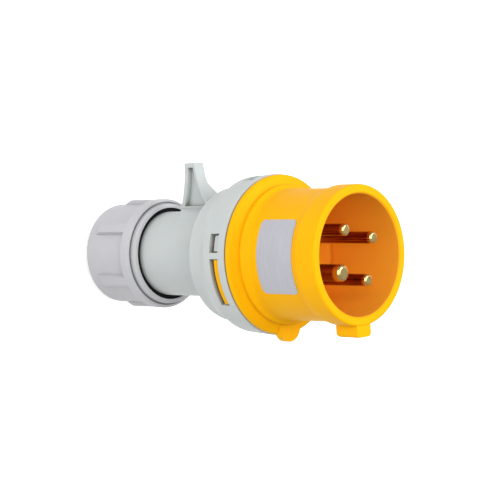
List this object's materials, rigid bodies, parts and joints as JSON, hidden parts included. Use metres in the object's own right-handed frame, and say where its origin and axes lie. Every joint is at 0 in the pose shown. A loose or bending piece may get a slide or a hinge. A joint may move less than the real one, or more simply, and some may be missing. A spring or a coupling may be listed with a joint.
{
  "type": "industrial plug",
  "caption": "Round pin-and-sleeve power plug: brass contact pins in a keyed yellow shroud, a grey housing with a cap horn and latch windows, and a ribbed screwed cable gland nut.",
  "frame": {"origin": "centre of the cable entry, in the plane of the gland nut's rear face, on which the plug stands", "axes": "+Z along the plug's axis from the cable entry to the mouth, +Y from the axis towards the cap horn, so the polarising key is on -Y"},
  "size_m": [0.068, 0.077, 0.143],
  "materials": {
    "yellow_moulding": "satin moulded",
    "grey_moulding": "fine moulded texture",
    "grey_nut": "fine moulded texture",
    "white_nylon": "smooth moulded",
    "black_rubber": "matt moulded",
    "turned_brass": "turned and polished",
    "zinc_steel": "zinc plated",
    "dark_nylon": "smooth moulded",
    "silver_label": "satin film"
  },
  "bodies": {
    "plug_body": {"shroud": "yellow_moulding", "contact_insert": "yellow_moulding", "rear_housing": "grey_moulding", "clamp_cage": "grey_moulding", "cable_seal": "black_rubber", "nut_seal_ring": "black_rubber", "flange_gasket": "black_rubber", "phase_pin_1": "turned_brass", "phase_pin_2": "turned_brass", "phase_pin_3": "turned_brass", "earth_pin": "turned_brass", "terminal_screws": "zinc_steel", "pin_retainer": "dark_nylon", "retainer_screws": "zinc_steel", "blank_label": "silver_label"},
    "slip_ring": {"slip_ring": "white_nylon"},
    "gland_nut": {"gland_nut": "grey_nut"}
  },
  "joints": [
    {"name": "nut_travel", "type": "slide", "parent": "plug_body", "child": "slip_ring", "axis": [0, 0, -1], "range_m": [0, 0.006]},
    {"name": "nut_turn", "type": "hinge", "parent": "slip_ring", "child": "gland_nut", "pos_m": [0, 0, 0], "axis": [0, 0, -1], "range_deg": [0, 720]}
  ],
  "couplings": [
    {"joint": "nut_turn", "follows": "nut_travel", "rad_per_m": 2094.4}
  ]
}
